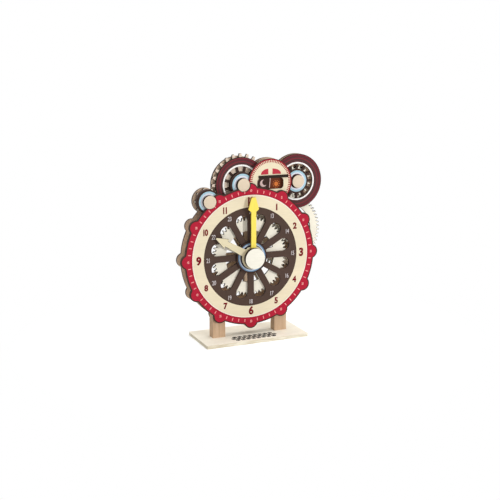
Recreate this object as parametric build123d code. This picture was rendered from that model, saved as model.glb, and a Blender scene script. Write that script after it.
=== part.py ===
from build123d import *
import os
from math import acos, atan2, cos, degrees, hypot, pi, radians, sin, sqrt, tan

# A wooden teaching clock on a base board, in millimetres.
# X runs to the right as the dial is read, Y runs to the back and Z runs up.
# The origin is at the middle of the underside of the base board.
# A depth is counted backwards from the front face of the dial plate.

# Base board and legs
BASE_WIDTH = 165.0
BASE_DEPTH = 80.0
BASE_THICKNESS = 5.0
BASE_CORNER = 2.0
LEG_WIDTH = 20.0
LEG_SPREAD = 101.5
LEG_LAP = 29.5
LEG_BEVEL = 1.0
DIAL_LIFT = 10.0

# Sheets that the flat pieces are cut from
PLATE_SHEET = 4.0
WHEEL_SHEET = 3.0
THIN_SHEET = 2.2
DRIVE_SHEET = 3.2

# Clearances
SIDE_GAP = 0.4
RUNNING_FIT = 0.08
GLUED_FIT = 0.05
KNOB_NOTCH_GAP = 0.9

# Outline of the two plates: a round rim with bumps, and windows like drops with their points inwards
RIM_RADIUS = 104.5
BUMP_COUNT = 12
BUMP_RADIUS = 11.0
BUMP_SINK = 4.5
WINDOW_ROUND_RADIUS = 9.8
WINDOW_ROUND_PLACE = 55.5
WINDOW_POINT_PLACE = 17.8
BLIND_DEPTH = 2.5

# The window plate, and how far the middles of the top wheels stand above the top of the rim
WINDOW_PLATE_SHIFT = 33.1
WINDOW_PLATE_RISE = 5.8
LEFT_WHEEL_RISE = 4.0
RIGHT_WHEEL_RISE = 3.7
SMALL_WHEEL_BEARING = 202.04

# Clearances between the top wheels and what stands beside them in the same layers
LEFT_CAP_GAP = 1.83
RIGHT_CAP_GAP = 3.19
SMALL_WHEEL_GAP = 0.77

# How much further than its wheel each ear of the back plate reaches; the right ear is the size of its wheel
# The two left-hand ears stand a little to the left of their wheels
SMALL_EAR_MARGIN = 1.4
SMALL_EAR_SHIFT = 1.6
LEFT_EAR_MARGIN = 1.5
LEFT_EAR_SHIFT = 3.5
PICTURE_EAR_MARGIN = 0.5

# Round spacers between the plates, as angles from the right-hand side of the dial
SPACER_ANGLES = (168.0, 205.0, -36.0)
SPACER_RADIUS = 6.0
SPACER_INSET = 10.5

# Dowels, tubes and knobs
DOWEL_RADIUS = 3.0
TUBE_WALL = 1.6
SLEEVE_WALL = 3.0
BIG_KNOB_RADIUS = 15.6
BIG_KNOB_LENGTH = 6.2
SMALL_KNOB_RADIUS = 9.8
SMALL_KNOB_LENGTH = 5.6
KNOB_BEVEL = 0.7
KNOB_BORE_DEPTH = 3.0
CAP_RADIUS = 8.0
PICTURE_CAP_RADIUS = 5.0
PICTURE_CAP_THICKNESS = 1.6

# Wheels and discs
HUB_DISC_RADIUS = 24.6
SMALL_WHEEL_RADIUS = 17.6
LEFT_WHEEL_RADIUS = 40.0
RIGHT_WHEEL_RADIUS = 41.5
LEFT_HUB_RADIUS = 18.5
WHEEL_WINDOW_COUNT = 12
WHEEL_WINDOW_INNER = 18.8
WHEEL_WINDOW_OUTER = 26.5
WHEEL_SPOKE_WIDTH = 3.6
LEFT_WINDOW_TURN = 15.0

# Picture window and its toothed disc
WINDOW_PLATE_RADIUS = 35.0
PICTURE_WINDOW_WIDTH = 43.0
PICTURE_WINDOW_TOP = 6.0
PICTURE_WINDOW_BOTTOM = -10.5
PICTURE_WINDOW_CORNER = 5.0
PICTURE_PIN_INSET = 5.5
VISOR_LENGTH = 48.0
VISOR_HEIGHT = 4.2
VISOR_THICKNESS = 1.5
VISOR_SHIFT = 4.6

# Hands, measured from the middle of the dial
MINUTE_HAND_LENGTH = 91.0
MINUTE_SHAFT_WIDTH = 8.0
MINUTE_HEAD_WIDTH = 17.0
MINUTE_HEAD_START = 69.5
MINUTE_HEAD_WIDEST = 73.2
MINUTE_TIP_WIDTH = 6.5
MINUTE_BOSS_RADIUS = 12.0
HOUR_HAND_LENGTH = 67.0
HOUR_SHAFT_WIDTH = 8.0
HOUR_SHAFT_FOOT_WIDTH = 13.0
HOUR_HEAD_WIDTH = 15.0
HOUR_HEAD_START = 48.5
HOUR_TIP_WIDTH = 2.0
HOUR_BOSS_RADIUS = 17.5
HOUR_HAND_ANGLE = 150.0
MINUTE_HAND_ANGLE = 90.0

# Gears: numbers of teeth and the tooth form, in shares of the module; the coarse pair has shorter teeth
DRIVE_MODULE = 1.82
MINUTE_PINION_TEETH = 20
INTERMEDIATE_TEETH = 60
RIGHT_PINION_TEETH = 24
MOTION_PINION_TEETH = 16
HOUR_WHEEL_TEETH = 64
COARSE_GEAR_TEETH = 24
SMALL_PINION_TEETH = 9
HUB_GEAR_TEETH = 18
PICTURE_DISC_TEETH = 40
PRESSURE_ANGLE = 20.0
ADDENDUM = 1.0
DEDENDUM = 1.25
STUB_HEIGHT = 0.8
BACKLASH = 0.25
ARM_COUNT = 5
HOUR_ARM_WIDTH = 9.0
HOUR_OPENING_INNER = 14.0
HOUR_OPENING_OUTER = 39.5
HOUR_ARM_ANGLE = 82.0
INTERMEDIATE_ARM_WIDTH = 10.0
INTERMEDIATE_OPENING_INNER = 15.0
INTERMEDIATE_OPENING_OUTER = 41.0
INTERMEDIATE_ARM_ANGLE = 20.0

# Wood screws
SCREW_RADIUS = 1.75
SCREW_HEAD_RADIUS = 3.5
SCREW_HEAD_HEIGHT = 2.0
SCREW_GRIP = 9.0
SCREW_SINK = 0.3

# Depths of the layers between the two plates
motion_front = PLATE_SHEET + SIDE_GAP
motion_back = motion_front + WHEEL_SHEET
window_front = PLATE_SHEET
window_back = window_front + THIN_SHEET
hub_front = window_back + SIDE_GAP
hub_back = hub_front + THIN_SHEET
picture_front = hub_back + SIDE_GAP
picture_back = picture_front + THIN_SHEET
disc_front = picture_back + SIDE_GAP
disc_back = disc_front + THIN_SHEET
drive_front = disc_back + SIDE_GAP
drive_back = drive_front + DRIVE_SHEET
back_plate_front = drive_back + SIDE_GAP
back_plate_back = back_plate_front + PLATE_SHEET
cap_front = back_plate_back + SIDE_GAP
cap_back = cap_front + WHEEL_SHEET

# Depths of the layers in front of the dial
hub_disc_front = -WHEEL_SHEET
hour_hand_back = hub_disc_front - SIDE_GAP
hour_hand_front = hour_hand_back - WHEEL_SHEET
minute_hand_back = hour_hand_front - SIDE_GAP
minute_hand_front = minute_hand_back - WHEEL_SHEET
big_knob_front = minute_hand_front - BIG_KNOB_LENGTH

# The pair of plates stands over the middle line of the base board, with the lowest bump clear of it
dial_face_y = -back_plate_back / 2
bump_pitch_radius = RIM_RADIUS - BUMP_SINK
dial_height = BASE_THICKNESS + DIAL_LIFT + BUMP_RADIUS + bump_pitch_radius
tube_bore = DOWEL_RADIUS + RUNNING_FIT
tube_radius = tube_bore + TUBE_WALL
sleeve_radius = DOWEL_RADIUS + SLEEVE_WALL
dial_centre = (0.0, 0.0)


def along(radius, angle):
    """Point on a circle, with the angle in degrees from the right-hand side."""
    return (radius * cos(radians(angle)), radius * sin(radians(angle)))


def distance(first, second):
    return hypot(second[0] - first[0], second[1] - first[1])


def slab(outline, front, back, centre=dial_centre):
    """Cut a flat outline, drawn about its own middle, out of the sheet between two depths."""
    place = (centre[0], dial_face_y + back, dial_height + centre[1])
    sheet = Plane(origin=place, x_dir=(1, 0, 0), z_dir=(0, -1, 0))
    return extrude(sheet * outline, amount=back - front)


def ring(outer, inner):
    return Circle(outer) - Circle(inner)


def shifted(outline, centre):
    return Pos(centre[0], centre[1]) * outline


def knob(radius, front, back, centre, bore_depth):
    """Turned wooden knob with a bevelled front edge and a blind bore for its dowel."""
    body = slab(Circle(radius), front, back, centre)
    body = chamfer(body.edges().group_by(Axis.Y)[0], KNOB_BEVEL)
    return body - slab(Circle(DOWEL_RADIUS + GLUED_FIT), back - bore_depth, back, centre)


def dowel(front, back, centre):
    return slab(Circle(DOWEL_RADIUS), front, back, centre)


def collar(radius, front, back, centre):
    """Round piece glued on a dowel."""
    return slab(ring(radius, DOWEL_RADIUS + GLUED_FIT), front, back, centre)


# Tooth form: straight flanks that lie just inside a true involute between the root and the tip
def involute(angle):
    return tan(angle) - angle


def gear_face(teeth, module, phase, height=1.0):
    """Toothed outline with one tooth centred on the phase angle, in radians."""
    pitch_radius = module * teeth / 2
    tip_radius = pitch_radius + height * ADDENDUM * module
    root_radius = pitch_radius - height * DEDENDUM * module
    base_radius = pitch_radius * cos(radians(PRESSURE_ANGLE))
    pitch_half_angle = (pi * module / 2 - BACKLASH) / (2 * pitch_radius)

    def half_angle(radius):
        slope = acos(min(1.0, base_radius / radius))
        return pitch_half_angle + involute(radians(PRESSURE_ANGLE)) - involute(slope)

    foot_radius = max(root_radius, base_radius)
    flank = [(root_radius, half_angle(foot_radius)), (tip_radius, half_angle(tip_radius))]
    points = []
    for tooth in range(teeth):
        middle = phase + 2 * pi * tooth / teeth
        for radius, half in flank:
            points.append((radius * cos(middle - half), radius * sin(middle - half)))
        for radius, half in reversed(flank):
            points.append((radius * cos(middle + half), radius * sin(middle + half)))
    return Polygon(*points, align=None)


def meshing_phase(phase, teeth, centre, next_teeth, next_centre):
    """Phase that puts a gap of the next gear where the first gear has its tooth."""
    line = atan2(next_centre[1] - centre[1], next_centre[0] - centre[0])
    return line + pi + pi / next_teeth - (phase - line) * teeth / next_teeth


def arm_openings(inner, outer, arm_width, first_angle):
    """Openings between the arms of a wheel."""
    openings = ring(outer, inner)
    for arm in range(ARM_COUNT):
        spoke = Pos(outer / 2, 0) * Rectangle(outer, arm_width)
        openings -= Rot(0, 0, first_angle + 360 * arm / ARM_COUNT) * spoke
    return openings


def beside(start, reach, height, side):
    """Place at a given height and a straight reach from the start, to its left (-1) or right (+1)."""
    return (start[0] + side * sqrt(reach ** 2 - (height - start[1]) ** 2), height)


# The picture pin stands inside the rim under the window plate, and the top wheels clear its cap and each other
window_plate_place = (WINDOW_PLATE_SHIFT, RIM_RADIUS + WINDOW_PLATE_RISE)
pin_pitch_radius = RIM_RADIUS - PICTURE_PIN_INSET
picture_pin_place = (WINDOW_PLATE_SHIFT, sqrt(pin_pitch_radius ** 2 - WINDOW_PLATE_SHIFT ** 2))
left_reach = LEFT_WHEEL_RADIUS + LEFT_CAP_GAP + PICTURE_CAP_RADIUS
left_wheel_place = beside(picture_pin_place, left_reach, RIM_RADIUS + LEFT_WHEEL_RISE, -1)
right_reach = RIGHT_WHEEL_RADIUS + RIGHT_CAP_GAP + PICTURE_CAP_RADIUS
right_wheel_place = beside(picture_pin_place, right_reach, RIM_RADIUS + RIGHT_WHEEL_RISE, 1)
small_reach = along(LEFT_WHEEL_RADIUS + SMALL_WHEEL_GAP + SMALL_WHEEL_RADIUS, SMALL_WHEEL_BEARING)
small_wheel_place = (left_wheel_place[0] + small_reach[0], left_wheel_place[1] + small_reach[1])

# Gear centres: the intermediate wheel meshes with both the minute pinion and the right pinion
drive_distance = DRIVE_MODULE * (MINUTE_PINION_TEETH + INTERMEDIATE_TEETH) / 2
right_distance = DRIVE_MODULE * (RIGHT_PINION_TEETH + INTERMEDIATE_TEETH) / 2
span = distance(dial_centre, right_wheel_place)
foot = (drive_distance ** 2 - right_distance ** 2 + span ** 2) / (2 * span)
rise = sqrt(drive_distance ** 2 - foot ** 2)
toward = (right_wheel_place[0] / span, right_wheel_place[1] / span)
intermediate_place = (foot * toward[0] + rise * toward[1], foot * toward[1] - rise * toward[0])

# Modules of the other pairs follow from their centre distances
motion_module = 2 * drive_distance / (MOTION_PINION_TEETH + HOUR_WHEEL_TEETH)
coarse_distance = distance(left_wheel_place, small_wheel_place)
coarse_module = 2 * coarse_distance / (COARSE_GEAR_TEETH + SMALL_PINION_TEETH)
picture_distance = distance(left_wheel_place, picture_pin_place)
picture_module = 2 * picture_distance / (HUB_GEAR_TEETH + PICTURE_DISC_TEETH)

# Tooth phases, each worked out from the gear before it
minute_phase = radians(MINUTE_HAND_ANGLE)
intermediate_phase = meshing_phase(
    minute_phase, MINUTE_PINION_TEETH, dial_centre, INTERMEDIATE_TEETH, intermediate_place)
right_phase = meshing_phase(
    intermediate_phase, INTERMEDIATE_TEETH, intermediate_place, RIGHT_PINION_TEETH, right_wheel_place)
motion_phase = intermediate_phase
hour_phase = meshing_phase(
    motion_phase, MOTION_PINION_TEETH, intermediate_place, HOUR_WHEEL_TEETH, dial_centre)
coarse_phase = radians(MINUTE_HAND_ANGLE)
small_phase = meshing_phase(
    coarse_phase, COARSE_GEAR_TEETH, left_wheel_place, SMALL_PINION_TEETH, small_wheel_place)
picture_phase = meshing_phase(
    coarse_phase, HUB_GEAR_TEETH, left_wheel_place, PICTURE_DISC_TEETH, picture_pin_place)

parts = {}

# Base board with two countersunk holes, one under each leg
leg_places = (-LEG_SPREAD / 2, LEG_SPREAD / 2)
leg_depth = back_plate_front - PLATE_SHEET
leg_y = dial_face_y + PLATE_SHEET + leg_depth / 2
leg_top = dial_height - RIM_RADIUS + LEG_LAP
base = extrude(RectangleRounded(BASE_WIDTH, BASE_DEPTH, BASE_CORNER), amount=BASE_THICKNESS)


def screw(length, play):
    """Countersunk screw standing on its head, or the hole for one when play is given."""
    shank = Pos(0, 0, SCREW_SINK) * Cylinder(
        SCREW_RADIUS + play, length, align=(Align.CENTER, Align.CENTER, Align.MIN))
    head = Pos(0, 0, SCREW_SINK) * Cone(
        SCREW_HEAD_RADIUS + play, SCREW_RADIUS + play, SCREW_HEAD_HEIGHT,
        align=(Align.CENTER, Align.CENTER, Align.MIN))
    if not play:
        return shank + head
    mouth = Cylinder(SCREW_HEAD_RADIUS + play, SCREW_SINK, align=(Align.CENTER, Align.CENTER, Align.MIN))
    return shank + head + mouth


screw_length = BASE_THICKNESS - SCREW_SINK + SCREW_GRIP
screw_spots = [Pos(x, leg_y, 0) for x in leg_places]
screw_holes = [spot * screw(screw_length, GLUED_FIT) for spot in screw_spots]
parts["base_board"] = base - screw_holes
parts["base_screws"] = Compound([(spot * screw(screw_length, 0)).solid() for spot in screw_spots])

# Two beech legs that fill the space between the plates and are glued to both
for side, x in zip(("left", "right"), leg_places):
    foot_print = Pos(x, leg_y, BASE_THICKNESS) * Rectangle(LEG_WIDTH, leg_depth)
    leg = extrude(foot_print, amount=leg_top - BASE_THICKNESS)
    leg = chamfer(leg.edges().group_by(Axis.Z)[-1], LEG_BEVEL)
    parts[side + "_leg"] = leg - screw_holes

# Outline and windows that the two plates share
bump_places = [along(bump_pitch_radius, 360 * bump / BUMP_COUNT) for bump in range(BUMP_COUNT)]
plate_outline = Circle(RIM_RADIUS) + [shifted(Circle(BUMP_RADIUS), place) for place in bump_places]
lean = WINDOW_ROUND_RADIUS / (WINDOW_ROUND_PLACE - WINDOW_POINT_PLACE)
touch_place = WINDOW_ROUND_PLACE - WINDOW_ROUND_RADIUS * lean
touch_side = WINDOW_ROUND_RADIUS * sqrt(1 - lean ** 2)
drop_point = Polygon(
    (WINDOW_POINT_PLACE, 0), (touch_place, -touch_side), (touch_place, touch_side), align=None)
drop_window = Pos(WINDOW_ROUND_PLACE, 0) * Circle(WINDOW_ROUND_RADIUS) + drop_point
window_step = 360 / BUMP_COUNT
drop_windows = [Rot(0, 0, window_step * (index + 0.5)) * drop_window for index in range(BUMP_COUNT)]

# Front plate: the dial, notched round the knobs that stand through its edge
knob_notch = Circle(SMALL_KNOB_RADIUS + KNOB_NOTCH_GAP)
notches = [shifted(knob_notch, place) for place in (small_wheel_place, left_wheel_place)]
front_outline = plate_outline - drop_windows - notches - Circle(tube_radius + RUNNING_FIT)
front_plate = slab(front_outline, 0, PLATE_SHEET)
blind_back = PLATE_SHEET
blind_front = PLATE_SHEET - BLIND_DEPTH
front_plate -= slab(Circle(DOWEL_RADIUS + RUNNING_FIT), blind_front, blind_back, intermediate_place)
front_plate -= slab(Circle(DOWEL_RADIUS + GLUED_FIT), blind_front, blind_back, picture_pin_place)
parts["front_plate"] = front_plate

# Back plate: the same outline with four ears, and a running hole for each turning dowel
small_ear_place = (small_wheel_place[0] - SMALL_EAR_SHIFT, small_wheel_place[1])
left_ear_place = (left_wheel_place[0] - LEFT_EAR_SHIFT, left_wheel_place[1])
ears = [
    shifted(Circle(SMALL_WHEEL_RADIUS + SMALL_EAR_MARGIN), small_ear_place),
    shifted(Circle(LEFT_WHEEL_RADIUS + LEFT_EAR_MARGIN), left_ear_place),
    shifted(Circle(WINDOW_PLATE_RADIUS + PICTURE_EAR_MARGIN), window_plate_place),
    shifted(Circle(RIGHT_WHEEL_RADIUS), right_wheel_place)]
running_hole = Circle(DOWEL_RADIUS + RUNNING_FIT)
turning_places = (dial_centre, intermediate_place, small_wheel_place, left_wheel_place, right_wheel_place)
back_outline = plate_outline + ears - drop_windows - [shifted(running_hole, place) for place in turning_places]
parts["back_plate"] = slab(back_outline, back_plate_front, back_plate_back)

# Round wooden spacers glued between the plates
spacer_places = [along(RIM_RADIUS - SPACER_INSET, angle) for angle in SPACER_ANGLES]
spacers = [slab(Circle(SPACER_RADIUS), PLATE_SHEET, back_plate_front, place) for place in spacer_places]
parts["plate_spacers"] = Compound([spacer.solid() for spacer in spacers])

# Dark hub disc glued on the dial
parts["hub_disc"] = slab(ring(HUB_DISC_RADIUS, tube_radius + RUNNING_FIT), hub_disc_front, 0)

# Window plate glued behind the top of the dial, with its visor strip
window_height = PICTURE_WINDOW_TOP - PICTURE_WINDOW_BOTTOM
window_middle = (PICTURE_WINDOW_TOP + PICTURE_WINDOW_BOTTOM) / 2
picture_window = Pos(0, window_middle) * RectangleRounded(
    PICTURE_WINDOW_WIDTH, window_height, PICTURE_WINDOW_CORNER)
picture_pin_hole = Pos(0, picture_pin_place[1] - window_plate_place[1]) * Circle(DOWEL_RADIUS + GLUED_FIT)
window_outline = Circle(WINDOW_PLATE_RADIUS) - picture_window - picture_pin_hole
window_notch = shifted(knob_notch, (
    left_wheel_place[0] - window_plate_place[0], left_wheel_place[1] - window_plate_place[1]))
parts["window_plate"] = slab(window_outline - window_notch, window_front, window_back, window_plate_place)
visor = Pos(VISOR_SHIFT, PICTURE_WINDOW_TOP + VISOR_HEIGHT / 2) * Rectangle(VISOR_LENGTH, VISOR_HEIGHT)
parts["visor_strip"] = slab(visor, window_front - VISOR_THICKNESS, window_front, window_plate_place)

# Picture disc with its pin and cap
picture_cap_front = picture_back + SIDE_GAP
picture_cap_back = picture_cap_front + PICTURE_CAP_THICKNESS
picture_face = gear_face(PICTURE_DISC_TEETH, picture_module, picture_phase) - running_hole
parts["picture_disc"] = slab(picture_face, picture_front, picture_back, picture_pin_place)
parts["picture_pin"] = dowel(blind_front, picture_cap_back, picture_pin_place)
parts["picture_cap"] = collar(PICTURE_CAP_RADIUS, picture_cap_front, picture_cap_back, picture_pin_place)

# Minute arbor with its pinion, spacer, hand and knob
minute_arbor_front = minute_hand_front - KNOB_BORE_DEPTH
parts["minute_arbor"] = dowel(minute_arbor_front, back_plate_back, dial_centre)
glued_hole = Circle(DOWEL_RADIUS + GLUED_FIT)
minute_pinion = gear_face(MINUTE_PINION_TEETH, DRIVE_MODULE, minute_phase) - glued_hole
parts["minute_pinion"] = slab(minute_pinion, drive_front, drive_back)
parts["minute_spacer"] = collar(sleeve_radius, motion_back + SIDE_GAP, drive_front, dial_centre)
minute_head = Polygon(
    (MINUTE_HEAD_START, -MINUTE_SHAFT_WIDTH / 2), (MINUTE_HEAD_WIDEST, -MINUTE_HEAD_WIDTH / 2),
    (MINUTE_HAND_LENGTH, -MINUTE_TIP_WIDTH / 2), (MINUTE_HAND_LENGTH, MINUTE_TIP_WIDTH / 2),
    (MINUTE_HEAD_WIDEST, MINUTE_HEAD_WIDTH / 2), (MINUTE_HEAD_START, MINUTE_SHAFT_WIDTH / 2), align=None)
minute_shaft = Pos(MINUTE_HEAD_START / 2, 0) * Rectangle(MINUTE_HEAD_START, MINUTE_SHAFT_WIDTH)
minute_outline = Circle(MINUTE_BOSS_RADIUS) + minute_shaft + minute_head - glued_hole
parts["minute_hand"] = slab(Rot(0, 0, MINUTE_HAND_ANGLE) * minute_outline, minute_hand_front, minute_hand_back)
parts["minute_knob"] = knob(
    BIG_KNOB_RADIUS, big_knob_front, minute_hand_front, dial_centre, KNOB_BORE_DEPTH)

# Hour tube round the minute arbor, with the hour wheel behind the dial and the hour hand in front
parts["hour_tube"] = slab(ring(tube_radius, tube_bore), hour_hand_front, motion_back)
tube_hole = Circle(tube_radius + GLUED_FIT)
hour_openings = arm_openings(HOUR_OPENING_INNER, HOUR_OPENING_OUTER, HOUR_ARM_WIDTH, HOUR_ARM_ANGLE)
hour_face = gear_face(HOUR_WHEEL_TEETH, motion_module, hour_phase) - hour_openings - tube_hole
parts["hour_wheel"] = slab(hour_face, motion_front, motion_back)
hour_head = Polygon(
    (HOUR_HEAD_START, -HOUR_HEAD_WIDTH / 2), (HOUR_HAND_LENGTH, -HOUR_TIP_WIDTH / 2),
    (HOUR_HAND_LENGTH, HOUR_TIP_WIDTH / 2), (HOUR_HEAD_START, HOUR_HEAD_WIDTH / 2), align=None)
hour_shaft = Polygon(
    (0, -HOUR_SHAFT_FOOT_WIDTH / 2), (HOUR_HEAD_START, -HOUR_SHAFT_WIDTH / 2),
    (HOUR_HEAD_START, HOUR_SHAFT_WIDTH / 2), (0, HOUR_SHAFT_FOOT_WIDTH / 2), align=None)
hour_outline = Circle(HOUR_BOSS_RADIUS) + hour_shaft + hour_head - tube_hole
parts["hour_hand"] = slab(Rot(0, 0, HOUR_HAND_ANGLE) * hour_outline, hour_hand_front, hour_hand_back)

# Intermediate arbor with its wheel, spacer and pinion
intermediate_openings = arm_openings(
    INTERMEDIATE_OPENING_INNER, INTERMEDIATE_OPENING_OUTER, INTERMEDIATE_ARM_WIDTH, INTERMEDIATE_ARM_ANGLE)
intermediate_face = gear_face(INTERMEDIATE_TEETH, DRIVE_MODULE, intermediate_phase)
intermediate_face = intermediate_face - intermediate_openings - glued_hole
motion_face = gear_face(MOTION_PINION_TEETH, motion_module, motion_phase) - glued_hole
parts["intermediate_wheel"] = slab(intermediate_face, drive_front, drive_back, intermediate_place)
parts["intermediate_pinion"] = slab(motion_face, motion_front, motion_back, intermediate_place)
parts["intermediate_spacer"] = collar(sleeve_radius, motion_back, drive_front, intermediate_place)
parts["intermediate_arbor"] = dowel(blind_front + SIDE_GAP, back_plate_back, intermediate_place)

# Round faces of the two large wheels, with their ring of small windows
wheel_openings = ring(WHEEL_WINDOW_OUTER, WHEEL_WINDOW_INNER)
for spoke_index in range(WHEEL_WINDOW_COUNT):
    spoke_bar = Pos(WHEEL_WINDOW_OUTER / 2, 0) * Rectangle(WHEEL_WINDOW_OUTER, WHEEL_SPOKE_WIDTH)
    wheel_openings -= Rot(0, 0, 360 * spoke_index / WHEEL_WINDOW_COUNT) * spoke_bar


def wheel_disc(radius, centre, turn=0.0):
    openings = Rot(0, 0, turn) * wheel_openings
    return slab(Circle(radius) - openings - glued_hole, disc_front, disc_back, centre)


def add_axle(name, place, seat):
    """Dowel through the back plate, with a knob on the face at the seat depth and a cap behind."""
    parts[name + "_axle"] = dowel(seat - KNOB_BORE_DEPTH, cap_back, place)
    parts[name + "_knob"] = knob(
        SMALL_KNOB_RADIUS, seat - SMALL_KNOB_LENGTH, seat, place, KNOB_BORE_DEPTH)
    parts[name + "_cap"] = collar(CAP_RADIUS, cap_front, cap_back, place)


# Right wheel, driven by the intermediate wheel
parts["right_wheel_disc"] = wheel_disc(RIGHT_WHEEL_RADIUS, right_wheel_place)
right_pinion = gear_face(RIGHT_PINION_TEETH, DRIVE_MODULE, right_phase) - glued_hole
parts["right_wheel_pinion"] = slab(right_pinion, disc_back, drive_back, right_wheel_place)
add_axle("right_wheel", right_wheel_place, disc_front)

# Left wheel: hub in front, then the gear of the picture disc, the round face and the coarse gear
parts["left_wheel_hub"] = collar(LEFT_HUB_RADIUS, hub_front, hub_back, left_wheel_place)
hub_gear = gear_face(HUB_GEAR_TEETH, picture_module, coarse_phase) - glued_hole
parts["left_hub_gear"] = slab(hub_gear, hub_back, disc_front, left_wheel_place)
parts["left_wheel_disc"] = wheel_disc(LEFT_WHEEL_RADIUS, left_wheel_place, LEFT_WINDOW_TURN)
coarse_gear = gear_face(COARSE_GEAR_TEETH, coarse_module, coarse_phase, STUB_HEIGHT) - glued_hole
parts["left_coarse_gear"] = slab(coarse_gear, disc_back, drive_back, left_wheel_place)
add_axle("left_wheel", left_wheel_place, hub_front)

# Small wheel, driven by the coarse gear
parts["small_wheel_disc"] = collar(SMALL_WHEEL_RADIUS, motion_front, motion_back, small_wheel_place)
parts["small_wheel_backer"] = collar(SMALL_WHEEL_RADIUS, motion_back, disc_back, small_wheel_place)
small_pinion = gear_face(SMALL_PINION_TEETH, coarse_module, small_phase, STUB_HEIGHT) - glued_hole
parts["small_wheel_pinion"] = slab(small_pinion, disc_back, drive_back, small_wheel_place)
add_axle("small_wheel", small_wheel_place, motion_front)

os.makedirs("parts", exist_ok=True)
for name, shape in parts.items():
    export_step(shape, f"parts/{name}.step")
print(len(parts), "pieces written")
for label, first, second in (
        ("intermediate wheel", INTERMEDIATE_TEETH, MINUTE_PINION_TEETH),
        ("right wheel", RIGHT_PINION_TEETH, MINUTE_PINION_TEETH)):
    print(label, "teeth", first, "against", second)
print("intermediate arbor at", [round(value, 3) for value in intermediate_place])
print("picture pin at", [round(value, 3) for value in picture_pin_place])
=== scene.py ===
from math import cos, pi, radians, sin

import bmesh
import bpy
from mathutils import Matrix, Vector


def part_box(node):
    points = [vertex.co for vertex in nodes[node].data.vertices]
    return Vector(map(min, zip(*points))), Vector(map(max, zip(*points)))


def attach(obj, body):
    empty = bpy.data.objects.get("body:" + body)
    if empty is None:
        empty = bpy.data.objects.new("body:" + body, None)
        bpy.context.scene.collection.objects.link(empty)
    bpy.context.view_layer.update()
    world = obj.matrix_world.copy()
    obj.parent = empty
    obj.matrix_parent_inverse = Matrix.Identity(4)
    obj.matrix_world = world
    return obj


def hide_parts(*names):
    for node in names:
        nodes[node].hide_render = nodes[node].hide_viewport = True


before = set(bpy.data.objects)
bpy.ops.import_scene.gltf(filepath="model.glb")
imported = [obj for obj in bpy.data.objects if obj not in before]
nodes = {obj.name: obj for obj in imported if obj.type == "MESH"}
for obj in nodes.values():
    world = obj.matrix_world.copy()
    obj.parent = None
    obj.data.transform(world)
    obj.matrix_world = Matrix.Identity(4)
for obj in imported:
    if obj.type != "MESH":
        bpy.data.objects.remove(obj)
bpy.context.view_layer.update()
mm = 0.001

# Base board.
# A plain sheet of pale plywood with slightly rounded corners, left bare, that the clock stands on.
# Its sawn edge shows the layers of the sheet.
BOARD_FACE = (250, 243, 226)
BOARD_EDGE = (240, 233, 213)
BOARD_EDGE_DARK = (216, 204, 178)
BOARD_LAYER = 1.7 * mm
THIN_LAYER = 1.3 * mm
PLY_ROUGHNESS = 0.7
WOOD_SHINE = 0.08
# How fine each pattern of the wood is along the grain and across it
PLY_GRAIN = (90.0, 1500.0)
PLY_CLOUDS = (9.0, 60.0)
PLY_GRAIN_TONES = (0.94, 1.03)
PLY_CLOUD_TONES = (0.96, 1.03)
LAYER_DRIFT = 45.0
GLUE_END = 0.38
LAYER_START = 0.6
PLY_RELIEF = 0.35
GRAIN_DEPTH = 0.05 * mm
# A surface counts as a flat face when it looks along the thickness by more than this
FLAT_FACE = 0.7
# Nearly all of a noise pattern lies between these two levels
NOISE_LOW = 0.25
NOISE_HIGH = 0.75


def screen(red, green, blue):
    """Colour as seen on a screen, from 0 to 255, in the form that a shader takes, by the sRGB curve."""
    levels = [value / 255 for value in (red, green, blue)]
    linear = [value / 12.92 if value <= 0.04045 else ((value + 0.055) / 1.055) ** 2.4 for value in levels]
    return (*linear, 1.0)


def add_node(tree, kind, inputs, **settings):
    """One shader node, whose inputs are plain values or the outputs of other nodes."""
    made = tree.nodes.new("ShaderNode" + kind)
    for name, value in settings.items():
        setattr(made, name, value)
    for socket, value in inputs.items():
        if isinstance(value, bpy.types.NodeSocket):
            tree.links.new(value, made.inputs[socket])
        else:
            made.inputs[socket].default_value = value
    return made


def arithmetic(tree, operation, first, second=0.0):
    return add_node(tree, "Math", {0: first, 1: second}, operation=operation).outputs[0]


def blend_colours(tree, share, first, second, kind="MIX"):
    """The first colour where the share is 0 and the second where it is 1."""
    # The Mix node's colours are its inputs 6 and 7 and its output 2
    mixed = add_node(tree, "Mix", {0: share, 6: first, 7: second}, data_type="RGBA", blend_type=kind)
    return mixed.outputs[2]


def shade(tree, colour, tone):
    """A colour made lighter or darker by a tone near 1."""
    return blend_colours(tree, 1.0, colour, tone, "MULTIPLY")


def new_finish(name, roughness, shine=WOOD_SHINE):
    """A plain material with its tree, its surface shader and the object's own coordinates."""
    finish = bpy.data.materials.new(name)
    finish.use_nodes = True
    tree = finish.node_tree
    surface = tree.nodes["Principled BSDF"]
    surface.inputs["Roughness"].default_value = roughness
    surface.inputs["Specular IOR Level"].default_value = shine
    spot = tree.nodes.new("ShaderNodeTexCoord")
    return finish, tree, surface, spot


def drawn_out(grain, along, across):
    """How fine a pattern is on each axis, from how fine it is along the grain and across it."""
    return [along if axis == grain else across for axis in "XYZ"]


def streaks(tree, spot, fineness, detail):
    """Noise from 0 to 1, as fine on each axis as is asked."""
    placed = add_node(tree, "Mapping", {"Vector": spot.outputs["Object"], "Scale": fineness})
    noise = add_node(tree, "TexNoise", {"Vector": placed.outputs[0], "Scale": 1.0, "Detail": detail})
    return noise.outputs["Fac"]


def between(tree, noise, low, high):
    """Noise brought between two values."""
    span = {0: noise, 1: NOISE_LOW, 2: NOISE_HIGH, 3: low, 4: high}
    return add_node(tree, "MapRange", span).outputs[0]


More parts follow.
